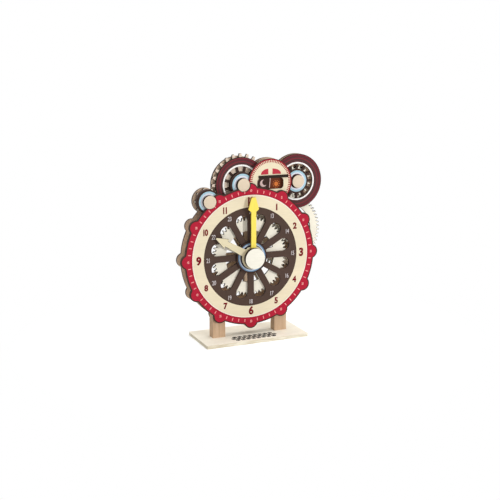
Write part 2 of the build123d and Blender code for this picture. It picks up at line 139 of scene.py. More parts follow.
def roughen(tree, surface, height, strength, depth):
    """Fine relief that follows a noise pattern."""
    bump = add_node(tree, "Bump", {"Strength": strength, "Distance": depth, "Height": height})
    tree.links.new(bump.outputs[0], surface.inputs["Normal"])


def facing(tree, spot, axis):
    """How far the surface faces along an axis, from -1 to 1."""
    split = add_node(tree, "SeparateXYZ", {0: spot.outputs["Normal"]})
    return split.outputs["XYZ".index(axis)]


def plywood(name, face, edge, edge_dark, grain="X", through="Y", layer=THIN_LAYER, ink=None):
    """Plywood: fine grain on its faces, glued layers on its cut edge, and ink on a front that is printed."""
    finish, tree, surface, spot = new_finish(name, PLY_ROUGHNESS)
    fine = streaks(tree, spot, drawn_out(grain, *PLY_GRAIN), detail=6.0)
    cloud = streaks(tree, spot, drawn_out(grain, *PLY_CLOUDS), detail=2.0)
    fine_tone = between(tree, fine, *PLY_GRAIN_TONES)
    cloud_tone = between(tree, cloud, *PLY_CLOUD_TONES)
    tone = arithmetic(tree, "MULTIPLY", fine_tone, cloud_tone)
    face_colour = screen(*face)
    front = facing(tree, spot, through)
    if ink:
        printed = arithmetic(tree, "LESS_THAN", front, -FLAT_FACE)
        face_colour = blend_colours(tree, printed, face_colour, ink(tree, spot))
    layers = streaks(tree, spot, drawn_out(through, 1.0 / layer, LAYER_DRIFT), detail=2.0)
    plies = add_node(tree, "ValToRGB", {0: layers})
    stops = plies.color_ramp.elements
    stops[0].position = GLUE_END
    stops[0].color = screen(*edge_dark)
    stops[1].position = LAYER_START
    stops[1].color = screen(*edge)
    flat = arithmetic(tree, "GREATER_THAN", arithmetic(tree, "ABSOLUTE", front), FLAT_FACE)
    colour = blend_colours(tree, flat, plies.outputs[0], shade(tree, face_colour, tone))
    tree.links.new(colour, surface.inputs["Base Color"])
    roughen(tree, surface, fine, PLY_RELIEF, GRAIN_DEPTH)
    return finish


def dress(finish, *names):
    """Give carried-over solids their finish."""
    for name in names:
        mesh = nodes[name].data
        mesh.materials.clear()
        mesh.materials.append(finish)


board_ply = plywood("board_plywood", BOARD_FACE, BOARD_EDGE, BOARD_EDGE_DARK, through="Z", layer=BOARD_LAYER)
dress(board_ply, "base_board")

# Print on the board.
# Three staggered rows of small spoked wheels, in thin dark ink in front of the dial.
# The wheels are printed on the bare wood, so they have next to no thickness.
INK = 0.12 * mm
INK_ROUGHNESS = 0.6
INK_MOTTLE = (1400.0, 1400.0, 1400.0)
INK_TONES = (0.92, 1.04)
INK_RELIEF = 0.2
INK_DEPTH = 0.03 * mm
BOARD_INK = (30, 27, 26)
WHEEL_ROWS = ((8, -15.6 * mm), (9, -22.6 * mm), (8, -29.6 * mm))
WHEEL_STEP = 8.3 * mm
WHEEL_OUTER = 3.6 * mm
WHEEL_STROKE = 1.1 * mm
WHEEL_SIDES = 48
WHEEL_HUB = 1.4 * mm
WHEEL_HUB_SIDES = 24
SPOKE_WIDTH = 0.9 * mm
# Three bars through the middle make six spokes
SPOKE_BARS = 3
BAR_ROUNDING = 0.3
LYING = (0.0, 0.0, 0.0)
ROUND_Y = (0.0, 1.0, 0.0)
ROUND_Z = (0.0, 0.0, 1.0)


def ink_finish(name, colour):
    """Matt ink, a little uneven, as it sits in the pores of the wood."""
    finish, tree, surface, spot = new_finish(name, INK_ROUGHNESS)
    uneven = streaks(tree, spot, INK_MOTTLE, detail=3.0)
    toned = shade(tree, screen(*colour), between(tree, uneven, *INK_TONES))
    tree.links.new(toned, surface.inputs["Base Color"])
    roughen(tree, surface, uneven, INK_RELIEF, INK_DEPTH)
    return finish


def start():
    """Nothing is selected, so that an operator acts only on what is made or chosen next."""
    bpy.ops.object.select_all(action="DESELECT")


def choose(piece):
    """Select one piece and nothing else."""
    start()
    piece.select_set(True)
    bpy.context.view_layer.objects.active = piece


def edit():
    """Open the chosen piece and select all of its mesh."""
    bpy.ops.object.mode_set(mode="EDIT")
    bpy.ops.mesh.select_all(action="SELECT")


def close():
    bpy.ops.object.mode_set(mode="OBJECT")


def settle():
    """Put the place, turn and size of the piece into its mesh."""
    bpy.ops.object.transform_apply(location=True, rotation=True, scale=True)


def gather(pieces):
    """Join pieces into the first of them."""
    start()
    for piece in pieces:
        piece.select_set(True)
    bpy.context.view_layer.objects.active = pieces[0]
    bpy.ops.object.join()
    return bpy.context.object


def thicken(piece, thickness):
    """Give a flat print its thickness, outwards from the surface that it lies on."""
    ply = piece.modifiers.new("ink", "SOLIDIFY")
    ply.thickness = thickness
    ply.offset = 1.0
    bpy.context.view_layer.objects.active = piece
    bpy.ops.object.modifier_apply(modifier=ply.name)


def finish_piece(piece, name, finish, body):
    """Name a new piece, give it its finish and fix it to the body that carries it."""
    piece.name = name
    piece.data.name = name
    piece.data.materials.clear()
    piece.data.materials.append(finish)
    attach(piece, body)


def flat_ring(outer, inner, sides, place):
    """A flat ring: an open circle, drawn inwards."""
    start()
    bpy.ops.mesh.primitive_circle_add(vertices=sides, radius=outer, location=place)
    piece = bpy.context.object
    settle()
    edit()
    bpy.ops.mesh.extrude_edges_move()
    share = inner / outer
    bpy.ops.transform.resize(value=(share, share, share), center_override=place)
    bpy.ops.mesh.select_all(action="SELECT")
    bpy.ops.mesh.normals_make_consistent(inside=False)
    close()
    return piece


def flat_disc(radius, sides, place, turn=LYING):
    start()
    bpy.ops.mesh.primitive_circle_add(
        vertices=sides, radius=radius, fill_type="NGON", location=place, rotation=turn)
    settle()
    return bpy.context.object


def flat_bar(width, height, place, turn=LYING):
    """A flat bar with its ends rounded off by a bevel of its corners."""
    start()
    bpy.ops.mesh.primitive_plane_add(size=1.0, rotation=turn)
    piece = bpy.context.object
    piece.scale = (width, height, 1.0)
    piece.location = place
    settle()
    edit()
    bpy.ops.mesh.bevel(offset=BAR_ROUNDING * min(width, height), segments=3, affect="VERTICES")
    close()
    return piece


def face_up(piece, direction):
    """Turn a flat print over where it faces away from the viewer."""
    if piece.data.polygons[0].normal.dot(Vector(direction)) < 0:
        choose(piece)
        edit()
        bpy.ops.mesh.flip_normals()
        close()
    return piece


def repeat_round(piece, count, angle, centre, axis=ROUND_Y):
    """Repeat a flat print round a middle, in steps of an angle."""
    choose(piece)
    edit()
    bpy.ops.mesh.spin(steps=count - 1, dupli=True, angle=angle * (count - 1), center=centre, axis=axis)
    close()


def copies(piece, places):
    """Copies of a piece, each with its own mesh and moved by one of the places."""
    made = []
    for place in places:
        choose(piece)
        bpy.ops.object.duplicate()
        twin = bpy.context.object
        twin.location = place
        settle()
        made.append(twin)
    bpy.data.objects.remove(piece)
    return made


board_top = (0.0, 0.0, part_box("base_board")[1].z)
wheel_rim = face_up(flat_ring(WHEEL_OUTER, WHEEL_OUTER - WHEEL_STROKE, WHEEL_SIDES, board_top), (0, 0, 1))
wheel_hub = flat_disc(WHEEL_HUB, WHEEL_HUB_SIDES, board_top)
wheel_spokes = flat_bar(2 * WHEEL_OUTER - WHEEL_STROKE, SPOKE_WIDTH, board_top)
repeat_round(wheel_spokes, SPOKE_BARS, pi / SPOKE_BARS, board_top, ROUND_Z)
printed_wheel = gather([wheel_rim, wheel_hub, wheel_spokes])
wheel_places = [
    ((index - (count - 1) / 2) * WHEEL_STEP, row_y, 0.0)
    for count, row_y in WHEEL_ROWS
    for index in range(count)]
board_print = gather(copies(printed_wheel, wheel_places))
thicken(board_print, INK)
finish_piece(board_print, "board_print", ink_finish("board_ink", BOARD_INK), "root")

# Legs and screws.
# Two bars of steamed beech, planed smooth with the grain running up, that are glued between the plates.
# A countersunk steel screw from under the board holds each of them.
BEECH = (211, 183, 153)
BEECH_DARK = (187, 154, 124)
SOLID_ROUGHNESS = 0.65
SOLID_STREAKS = (18.0, 420.0)
SOLID_FLECKS = (260.0, 2200.0)
SOLID_FLECK_TONES = (0.93, 1.04)
SOLID_RELIEF = 0.3
STEEL = (176, 174, 168)
STEEL_ROUGHNESS = 0.35
STEEL_SHINE = 0.5
STEEL_BRUSHING = (900.0, 900.0, 3000.0)
STEEL_TONES = (0.85, 1.05)


def solid_wood(name, light, dark, grain):
    """Solid wood with streaks along its grain and short dark flecks."""
    finish, tree, surface, spot = new_finish(name, SOLID_ROUGHNESS)
    broad = streaks(tree, spot, drawn_out(grain, *SOLID_STREAKS), detail=5.0)
    fine = streaks(tree, spot, drawn_out(grain, *SOLID_FLECKS), detail=2.0)
    colour = blend_colours(tree, between(tree, broad, 0.0, 1.0), screen(*light), screen(*dark))
    toned = shade(tree, colour, between(tree, fine, *SOLID_FLECK_TONES))
    tree.links.new(toned, surface.inputs["Base Color"])
    roughen(tree, surface, fine, SOLID_RELIEF, GRAIN_DEPTH)
    return finish


dress(solid_wood("steamed_beech", BEECH, BEECH_DARK, "Z"), "left_leg", "right_leg")
steel, steel_tree, steel_surface, steel_spot = new_finish("screw_steel", STEEL_ROUGHNESS, STEEL_SHINE)
steel_surface.inputs["Metallic"].default_value = 1.0
brushed = between(steel_tree, streaks(steel_tree, steel_spot, STEEL_BRUSHING, detail=4.0), *STEEL_TONES)
steel_tree.links.new(shade(steel_tree, screen(*STEEL), brushed), steel_surface.inputs["Base Color"])
dress(steel, "base_screws")

# Back plate and spacers.
# Thin birch plywood cut by a laser, so that the faces stay pale and the edge is burnt brown.
# Three round wooden blocks are glued between it and the dial, and two smaller ones keep gears apart.
BACK_PLY = (215, 190, 164)
BURNT = (104, 84, 77)
BURNT_DARK = (48, 36, 33)
BLOCK = (224, 202, 170)
BLOCK_DARK = (196, 166, 128)

dress(plywood("back_plywood", BACK_PLY, BURNT, BURNT_DARK, "Z"), "back_plate")
block_wood = solid_wood("block_wood", BLOCK, BLOCK_DARK, "Y")
dress(block_wood, "plate_spacers", "minute_spacer", "intermediate_spacer")

# Gears.
# The train of wheels between the plates, cut from pale plywood by a laser that blackens their teeth; the
# edges are painted darker still, nearly black, as painted shade in the gaps.
# On the faces of the two large wheels a dark line runs along the gaps between the teeth: a little laser
# scorch, widened as painted shade from the gaps.
GEAR_FACE = (246, 240, 223)
# The coarse gear's face is darker than the other gears' as painted shade, for where it stands behind the
# left wheel
COARSE_SHADED_FACE = (226, 206, 187)
# Burnt edges, darkened nearly to black as painted shade in the gaps between the teeth
BURNT_AND_SHADED_EDGE = (36, 27, 22)
BURNT_AND_SHADED_EDGE_DARK = (20, 14, 11)
DRIVE_MODULE = 1.82 * mm
TOOTH_HALF = pi * DRIVE_MODULE / 4
TOOTH_TAPER = 0.4
# Width of the dark line beside each gap: painted shade over a little laser scorch
TOOTH_SCORCH_AND_SHADE = 0.6 * mm
TOOTH_ROOT = 2.28 * mm
# Teeth of each large wheel, the turn of its first tooth, and the solid whose axis it turns on
LARGE_WHEELS = (
    ("hour_wheel", 64, radians(0.859), "hour_tube"),
    ("intermediate_wheel", 60, radians(-2.569), "intermediate_arbor"))


def middle_of(name):
    """The axis of a round piece, as its X and Z."""
    low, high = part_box(name)
    return (low.x + high.x) / 2, (low.z + high.z) / 2


def from_centre(tree, spot, x, z):
    """Where a point lies in front view, counted from a middle: its own X and Z and its distance."""
    moved = add_node(tree, "VectorMath", {0: spot.outputs["Object"], 1: (-x, 0.0, -z)}, operation="ADD")
    flat = add_node(tree, "VectorMath", {0: moved.outputs[0], 1: (1.0, 0.0, 1.0)}, operation="MULTIPLY")
    length = add_node(tree, "VectorMath", {0: flat.outputs[0]}, operation="LENGTH")
    split = add_node(tree, "SeparateXYZ", {0: flat.outputs[0]})
    return split.outputs["X"], split.outputs["Z"], length.outputs["Value"]


def burnt_teeth(x, z, teeth, turn):
    """Pale wood with a dark line round the gaps between the teeth: laser scorch, widened as painted shade
    from the gaps.
    """
    pitch_radius = DRIVE_MODULE * teeth / 2

    def paint(tree, spot):
        across, up, distance = from_centre(tree, spot, x, z)
        angle = arithmetic(tree, "SUBTRACT", arithmetic(tree, "ARCTAN2", up, across), turn)
        off_tooth = arithmetic(tree, "PINGPONG", angle, pi / teeth)
        off_line = arithmetic(tree, "MULTIPLY", off_tooth, distance)
        inward = arithmetic(tree, "SUBTRACT", pitch_radius, distance)
        taper = arithmetic(tree, "MULTIPLY", inward, TOOTH_TAPER)
        flank = arithmetic(tree, "ADD", taper, TOOTH_HALF - TOOTH_SCORCH_AND_SHADE)
        beside_gap = arithmetic(tree, "GREATER_THAN", off_line, flank)
        past_root = arithmetic(tree, "LESS_THAN", inward, TOOTH_ROOT + TOOTH_SCORCH_AND_SHADE)
        # Painted shade: the band beside each gap stands for the shade inside it
        scorch_and_shade = arithmetic(tree, "MULTIPLY", beside_gap, past_root)
        return blend_colours(tree, scorch_and_shade, screen(*GEAR_FACE), screen(*BURNT_AND_SHADED_EDGE))
    return paint


for wheel, teeth, turn, axis in LARGE_WHEELS:
    wheel_teeth = burnt_teeth(*middle_of(axis), teeth, turn)
    dress(plywood(wheel + "_plywood", GEAR_FACE, BURNT_AND_SHADED_EDGE, BURNT_AND_SHADED_EDGE_DARK, ink=wheel_teeth), wheel)
dress(
    plywood("gear_plywood", GEAR_FACE, BURNT_AND_SHADED_EDGE, BURNT_AND_SHADED_EDGE_DARK),
    "intermediate_pinion", "minute_pinion", "right_wheel_pinion", "left_hub_gear", "small_wheel_pinion")
dress(plywood("coarse_gear_plywood", COARSE_SHADED_FACE, BURNT_AND_SHADED_EDGE, BURNT_AND_SHADED_EDGE_DARK), "left_coarse_gear")

# Dowels and caps.
# Round birch dowels carry the wheels, and the hour hand's tube turns on the middle one.
# Turned caps hold the three top wheels from behind the back plate, and the picture disc on its pin.
DOWEL = (222, 199, 165)
DOWEL_DARK = (206, 180, 145)

dress(
    solid_wood("dowel_birch", DOWEL, DOWEL_DARK, "Y"),
    "minute_arbor", "hour_tube", "intermediate_arbor", "right_wheel_axle", "left_wheel_axle",
    "small_wheel_axle", "picture_pin", "picture_cap", "right_wheel_cap", "left_wheel_cap", "small_wheel_cap")

# Picture disc.
# A toothed plywood disc behind the window, printed in four quarters that turn past it.
# Two show a crescent moon on dark brown and two an orange sun on red brown, with pale lines between.
BARE_PLY = (220, 192, 162)
NIGHT = (70, 50, 44)
DAY = (112, 58, 38)
MOON = (236, 206, 200)
SUN = (228, 128, 62)
SECTORS = 4
SECTOR_TURN = radians(-5)
ICON_PLACE = 17.6 * mm
ICON_LEAN = radians(8)
MOON_RADIUS = 5.4 * mm
MOON_SIDES = 40
BITE_RADIUS = 0.82 * MOON_RADIUS
BITE_ASIDE = 0.5 * MOON_RADIUS
BITE_ABOVE = 0.25 * MOON_RADIUS
SUN_RADIUS = 3.3 * mm
SUN_SIDES = 32
SUN_RAYS = 10
SUN_RAY_RADIUS = 0.75 * mm
SUN_RAY_SIDES = 12
SUN_RAY_PLACE = 5.084 * mm
SECTOR_LINE = 1.1 * mm
SECTOR_LINE_START = 8.0 * mm
SECTOR_LINE_END = 29.0 * mm
UPRIGHT = (pi / 2, 0.0, 0.0)

picture_x, picture_z = middle_of("picture_pin")
picture_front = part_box("picture_disc")[0].y
picture_centre = (picture_x, picture_front, picture_z)


def sector_ink(tree, spot):
    """Two colours by turns round the pin."""
    x, z, _ = from_centre(tree, spot, picture_x, picture_z)
    angle = arithmetic(tree, "SUBTRACT", arithmetic(tree, "ARCTAN2", z, x), SECTOR_TURN)
    turns = arithmetic(tree, "DIVIDE", angle, 2 * pi / SECTORS)
    count = arithmetic(tree, "FLOOR", arithmetic(tree, "ADD", turns, SECTORS))
    odd = arithmetic(tree, "MODULO", count, 2.0)
    return blend_colours(tree, odd, screen(*DAY), screen(*NIGHT))


dress(plywood("picture_plywood", BARE_PLY, BURNT, BURNT_DARK, ink=sector_ink), "picture_disc")


def around(centre, radius, angle):
    """A place at a distance and an angle from a middle, in front view."""
    x, y, z = centre
    return (x + radius * cos(angle), y, z + radius * sin(angle))


def subtract(piece, cutter):
    """Cut one flat print out of another and throw the cutter away."""
    cut = piece.modifiers.new("cut", "BOOLEAN")
    cut.operation = "DIFFERENCE"
    cut.solver = "EXACT"
    cut.object = cutter
    bpy.context.view_layer.objects.active = piece
    bpy.ops.object.modifier_apply(modifier=cut.name)
    bpy.data.objects.remove(cutter)
    return piece


icon_places = []
for sector in range(SECTORS):
    lean = -ICON_LEAN if sector % 2 else ICON_LEAN
    icon_angle = SECTOR_TURN + 2 * pi * (sector + 0.5) / SECTORS + lean
    icon_places.append(around((picture_x, 0.0, picture_z), ICON_PLACE, icon_angle))
sun_places = icon_places[0::2]
moon_places = icon_places[1::2]

sun_middle = flat_disc(SUN_RADIUS, SUN_SIDES, (0.0, picture_front, 0.0), UPRIGHT)
sun_ray = flat_disc(SUN_RAY_RADIUS, SUN_RAY_SIDES, (0.0, picture_front, 0.0), UPRIGHT)
ray_places = [around((0.0, 0.0, 0.0), SUN_RAY_PLACE, 2 * pi * ray / SUN_RAYS) for ray in range(SUN_RAYS)]
printed_sun = gather([sun_middle] + copies(sun_ray, ray_places))
sun_print = gather(copies(printed_sun, sun_places))
thicken(sun_print, INK)
finish_piece(sun_print, "picture_suns", ink_finish("picture_sun_ink", SUN), "picture")

pale_ink = ink_finish("picture_pale_ink", MOON)
line_place = around(picture_centre, (SECTOR_LINE_START + SECTOR_LINE_END) / 2, SECTOR_TURN)
line_turn = (pi / 2, -SECTOR_TURN, 0.0)
line_print = flat_bar(SECTOR_LINE_END - SECTOR_LINE_START, SECTOR_LINE, line_place, line_turn)
repeat_round(line_print, SECTORS, 2 * pi / SECTORS, picture_centre)
thicken(line_print, INK)
finish_piece(line_print, "picture_lines", pale_ink, "picture")

crescent = flat_disc(MOON_RADIUS, MOON_SIDES, (0.0, picture_front, 0.0), UPRIGHT)
thicken(crescent, INK)
bite = flat_disc(BITE_RADIUS, MOON_SIDES, (BITE_ASIDE, picture_front + INK, BITE_ABOVE), UPRIGHT)
thicken(bite, 3 * INK)
moon_print = gather(copies(subtract(crescent, bite), moon_places))
finish_piece(moon_print, "picture_moons", pale_ink, "picture")

# Right wheel.
# A round plywood face printed in rings, with twelve windows between its spokes.
# It is glued on its dowel, in front of the pinion that drives it.
DARK_BROWN = (66, 48, 42)
MAROON = (94, 44, 50)
CRIMSON = (130, 46, 56)
RING_BROWN = (84, 54, 54)
WHITE = (246, 244, 240)
SKY = (174, 209, 223)
PALE_SKY = (234, 236, 246)
# The wheels' burnt edges, the window walls among them, darkened nearly to black as painted shade inside the
# windows
SHADED_WINDOW_WALL = (38, 30, 27)
SHADED_WINDOW_WALL_DARK = (18, 13, 11)
# Outer radius of each printed ring in millimetres, from the middle outwards
WHEEL_RINGS = (
    (9.6, DARK_BROWN), (10.8, MAROON), (13.3, PALE_SKY), (16.0, SKY), (26.6, DARK_BROWN), (29.0, WHITE),
    (30.2, MAROON), (33.8, RING_BROWN), (35.2, CRIMSON), (37.0, RING_BROWN), (39.2, MAROON), (40.2, CRIMSON),
    (60.0, DARK_BROWN))


def ring_colours(tree, distance, rings):
    """The colour of the printed ring at each distance from the middle."""
    reach = rings[-1][0] * mm
    share = arithmetic(tree, "DIVIDE", distance, reach)
    ramp = add_node(tree, "ValToRGB", {0: share})
    ramp.color_ramp.interpolation = "CONSTANT"
    stops = ramp.color_ramp.elements
    stops.remove(stops[1])
    stops[0].position = 0.0
    stops[0].color = screen(*rings[0][1])
    for (inner, _), (_, colour) in zip(rings, rings[1:]):
        stop = stops.new(inner * mm / reach)
        stop.color = screen(*colour)
    return ramp.outputs[0]


def print_rings(node, name, middle, rings, edge=BURNT, edge_dark=BURNT_DARK):
    """Plywood with ink in rings round a middle, for one of the round solids."""
    def paint(tree, spot):
        _, _, distance = from_centre(tree, spot, *middle)
        return ring_colours(tree, distance, rings)
    dress(plywood(name, BARE_PLY, edge, edge_dark, ink=paint), node)


print_rings(
    "right_wheel_disc", "right_wheel_print", middle_of("right_wheel_disc"), WHEEL_RINGS,
    SHADED_WINDOW_WALL, SHADED_WINDOW_WALL_DARK)

# Left wheel.
# The same printed face, with a smaller hub glued in front that carries the pale blue ring.
# Its coarse gear shows past its rim and drives the small wheel.
RIGHT_WHEEL_RADIUS = 41.5
LEFT_WHEEL_RADIUS = 40.0
# Rings from this radius outwards are smaller than the right wheel's, as the whole wheel is
SHRINK_FROM = 30.0
HUB_RINGS = (
    (10.2, DARK_BROWN), (13.2, PALE_SKY), (16.0, SKY), (30.0, DARK_BROWN))

left_middle = middle_of("left_wheel_disc")
left_shrink = LEFT_WHEEL_RADIUS / RIGHT_WHEEL_RADIUS
left_rings = [
    (outer if outer < SHRINK_FROM else outer * left_shrink, colour)
    for outer, colour in WHEEL_RINGS]
print_rings(
    "left_wheel_disc", "left_wheel_print", left_middle, left_rings, SHADED_WINDOW_WALL, SHADED_WINDOW_WALL_DARK)
print_rings("left_wheel_hub", "left_hub_print", left_middle, HUB_RINGS)

# Small wheel.
# A thick round plywood wheel built up of two layers, with a blue ring printed on its dark front.
# It stands partly behind the dial and is turned by the coarse gear.
SMALL_RINGS = ((9.8, DARK_BROWN), (12.4, PALE_SKY), (15.1, SKY), (30.0, DARK_BROWN))
SMALL_EDGE_DARK = (48, 36, 30)

print_rings(
    "small_wheel_disc", "small_wheel_print", middle_of("small_wheel_disc"), SMALL_RINGS,
    BURNT_DARK, SMALL_EDGE_DARK)
dress(plywood("small_wheel_core", BARE_PLY, BURNT, BURNT_DARK), "small_wheel_backer")

# Window plate.
# A round pale plywood plate, glued behind the top of the dial, with an opening for the pictures.
# Red strokes are printed along its rim, and two red quarter fans above the dark strip over the opening.
CREAM = (232, 219, 189)
RIM_RED = (160, 34, 48)
FAN_RED = (186, 54, 68)
WINDOW_RINGS = ((32.7, CREAM), (34.3, RIM_RED), (60.0, DARK_BROWN))
RIM_STROKES = 72
RIM_STROKE_WIDTH = 1.4 * mm
RIM_STROKE_LENGTH = 3.6 * mm
RIM_STROKE_PLACE = 31.2 * mm
FAN_HEIGHT = 8.4 * mm
FAN_FOOT = 122.0 * mm
FAN_SIDES = 64
# The side that each fan opens to, its width, and how far its foot stands to the right of the dial's middle
FANS = ((-1, 11.9 * mm, 29.5 * mm), (1, 14.0 * mm, 36.3 * mm))
VISOR_FACE = (46, 38, 32)
VISOR_EDGE = (56, 44, 36)
VISOR_EDGE_DARK = (34, 26, 20)

window_low, window_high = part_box("window_plate")
window_radius = (window_high.z - window_low.z) / 2
window_x = window_high.x - window_radius
window_z = window_high.z - window_radius
window_front = window_low.y
print_rings("window_plate", "window_print", (window_x, window_z), WINDOW_RINGS)

stroke_place = (window_x, window_front, window_z + RIM_STROKE_PLACE)
rim_strokes = flat_bar(RIM_STROKE_WIDTH, RIM_STROKE_LENGTH, stroke_place, UPRIGHT)
repeat_round(rim_strokes, RIM_STROKES, 2 * pi / RIM_STROKES, (window_x, window_front, window_z))
thicken(rim_strokes, INK)
finish_piece(rim_strokes, "window_rim_teeth", ink_finish("rim_ink", RIM_RED), "root")

dial_x, dial_z = middle_of("hub_disc")


def quarter_fan(side, width, foot_x):
    """A flat oval cut square through its middle, which leaves the quarter on one side and above."""
    corner = (dial_x + foot_x, window_front, dial_z + FAN_FOOT)
    oval = flat_disc(1.0, FAN_SIDES, (0.0, 0.0, 0.0), UPRIGHT)
    oval.scale = (width, 1.0, FAN_HEIGHT)
    oval.location = corner
    settle()
    for keep in ((side, 0.0, 0.0), (0.0, 0.0, 1.0)):
        edit()
        bpy.ops.mesh.bisect(plane_co=corner, plane_no=keep, clear_inner=True)
        close()
    return face_up(oval, (0, -1, 0))


fan_print = gather([quarter_fan(*fan) for fan in FANS])
thicken(fan_print, INK)
finish_piece(fan_print, "window_fans", ink_finish("fan_ink", FAN_RED), "root")
dress(plywood("visor_dark", VISOR_FACE, VISOR_EDGE, VISOR_EDGE_DARK), "visor_strip")

# Dial.
# The front plate of thin plywood, printed in dark brown, cream and red, with a dark line round its bumps.
# The hours, the minutes and the hours of the afternoon are printed on it.
HOURS = 12
MINUTES = 60
BUMPS = 12
RIM_RADIUS = 104.5 * mm
BUMP_RADIUS = 11.0 * mm
BUMP_PLACE = 100.0 * mm
BORDER = 1.7 * mm
# Rounds the corner that the dark line turns between the rim and a bump
BORDER_ROUNDING = 2.5 * mm
DIAL_BROWN = (80, 63, 55)
DIAL_LINE = (64, 46, 38)
PALE_LINE = (246, 234, 222)
RED_LINE = (150, 26, 44)
RED = (178, 34, 56)
DIAL_RINGS = (
    (74.2, DIAL_BROWN), (75.0, DIAL_LINE), (92.2, CREAM), (93.2, PALE_LINE), (94.2, RED_LINE), (140.0, RED))
HOUR_INK = (120, 20, 30)
HOUR_PLACE = 83.4 * mm
HOUR_LIFT = 0.5 * mm
HOUR_HEIGHT = 10.0 * mm
QUARTER_HEIGHT = 13.4 * mm
HOUR_WEIGHT = 0.05
AFTERNOON_INK = (214, 206, 206)
AFTERNOON_PLACE = 69.0 * mm
AFTERNOON_HEIGHT = 6.8 * mm
AFTERNOON_WEIGHT = 0.008
MINUTE_INK = (240, 158, 154)
MINUTE_HEIGHT = 4.0 * mm
MINUTE_WEIGHT = 0.05
TICK_LENGTH = 4.4 * mm
TICK_WIDTH = 1.3 * mm
TICK_PLACE = 98.4 * mm
TICKS_BETWEEN_BUMPS = 4
# How narrow the figures of a number are, for one figure and for two, and how close they stand
ONE_FIGURE = 0.92
TWO_FIGURES = 0.74
FIGURE_SPACE = 0.86
FIGURE_CURVE_STEPS = 4

dial_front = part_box("front_plate")[0].y
dial_centre = (dial_x, dial_front, dial_z)


def dial_ink(tree, spot):
    """Printed rings inside a dark line that follows the rim and its bumps."""
    x, z, distance = from_centre(tree, spot, dial_x, dial_z)
    angle = arithmetic(tree, "ARCTAN2", z, x)
    off_bump = arithmetic(tree, "PINGPONG", angle, pi / BUMPS)
    product = arithmetic(tree, "MULTIPLY", arithmetic(tree, "COSINE", off_bump), distance)
    doubled = arithmetic(tree, "MULTIPLY", product, 2 * BUMP_PLACE)
    squares = arithmetic(tree, "ADD", arithmetic(tree, "POWER", distance, 2.0), BUMP_PLACE ** 2)
    bump_distance = arithmetic(tree, "SQRT", arithmetic(tree, "SUBTRACT", squares, doubled))
    past_bump = arithmetic(tree, "SUBTRACT", bump_distance, BUMP_RADIUS)
    past_rim = arithmetic(tree, "SUBTRACT", distance, RIM_RADIUS)
    edges = {0: past_bump, 1: past_rim, 2: BORDER_ROUNDING}
    depth = add_node(tree, "Math", edges, operation="SMOOTH_MIN").outputs[0]
    border = arithmetic(tree, "GREATER_THAN", depth, -BORDER)
    return blend_colours(tree, border, ring_colours(tree, distance, DIAL_RINGS), screen(*DARK_BROWN))


dress(plywood("dial_print", BARE_PLY, BURNT, BURNT_DARK, ink=dial_ink), "front_plate")


def number(text, height, weight, place):
    """A printed number, upright and a little narrow, with its middle at a place on the dial."""
    start()
    bpy.ops.object.text_add()
    label = bpy.context.object
    label.data.body = text
    label.data.offset = weight
    label.data.space_character = FIGURE_SPACE
    label.data.resolution_u = FIGURE_CURVE_STEPS
    bpy.ops.object.convert(target="MESH")
    label = bpy.context.object
    bpy.ops.object.origin_set(type="ORIGIN_GEOMETRY", center="BOUNDS")
    scale = height / label.dimensions.y
    label.scale = (scale * (ONE_FIGURE if len(text) == 1 else TWO_FIGURES), scale, scale)
    label.rotation_euler = UPRIGHT
    label.location = place
    settle()
    return face_up(label, (0, -1, 0))


def number_ring(name, labels, weight, radius, finish, lift=0.0):
    """Numbers that stand upright round the dial, each at its hour."""
    middle = (dial_x, dial_front, dial_z + lift)
    made = []
    for hour, value, height in labels:
        place = around(middle, radius, pi / 2 - 2 * pi * hour / HOURS)
        made.append(number(str(value), height, weight, place))
    ring = gather(made)
    thicken(ring, INK)
    finish_piece(ring, name, finish, "root")


hours = range(1, HOURS + 1)
hour_labels = [(hour, hour, HOUR_HEIGHT if hour % 3 else QUARTER_HEIGHT) for hour in hours]
afternoon_labels = [(hour, hour + HOURS, AFTERNOON_HEIGHT) for hour in hours]
minute_labels = [(hour, hour * MINUTES // HOURS, MINUTE_HEIGHT) for hour in hours]
minute_ink = ink_finish("minute_ink", MINUTE_INK)
number_ring(
    "hour_numbers", hour_labels, HOUR_WEIGHT, HOUR_PLACE, ink_finish("hour_ink", HOUR_INK), HOUR_LIFT)
number_ring(
    "afternoon_numbers", afternoon_labels, AFTERNOON_WEIGHT, AFTERNOON_PLACE,
    ink_finish("afternoon_ink", AFTERNOON_INK))
number_ring("minute_numbers", minute_labels, MINUTE_WEIGHT, BUMP_PLACE, minute_ink)

tick_angle = 2 * pi / MINUTES
ticks = flat_bar(TICK_WIDTH, TICK_LENGTH, (dial_x, dial_front, dial_z + TICK_PLACE), UPRIGHT)
choose(ticks)
edit()
bpy.ops.transform.rotate(value=tick_angle, orient_axis="Y", center_override=dial_centre)
close()
repeat_round(ticks, TICKS_BETWEEN_BUMPS, tick_angle, dial_centre)
repeat_round(ticks, BUMPS, 2 * pi / BUMPS, dial_centre)
thicken(ticks, INK)
finish_piece(ticks, "minute_ticks", minute_ink, "root")

# Hub disc.
# A dark plywood disc glued on the middle of the dial, with a pale and a blue ring near its edge.
# The slate grey inside the rings is painted shade round the middle of the hands
HUB_PAINTED_SHADE = (52, 52, 66)
HUB_PALE = (206, 216, 232)
HUB_BLUE = (116, 152, 184)
HUB_EDGE_DARK = (44, 32, 26)
HUB_DISC_RINGS = ((18.9, HUB_PAINTED_SHADE), (20.4, HUB_PALE), (21.9, HUB_BLUE), (40.0, DARK_BROWN))
print_rings("hub_disc", "hub_disc_print", (dial_x, dial_z), HUB_DISC_RINGS, BURNT_DARK, HUB_EDGE_DARK)

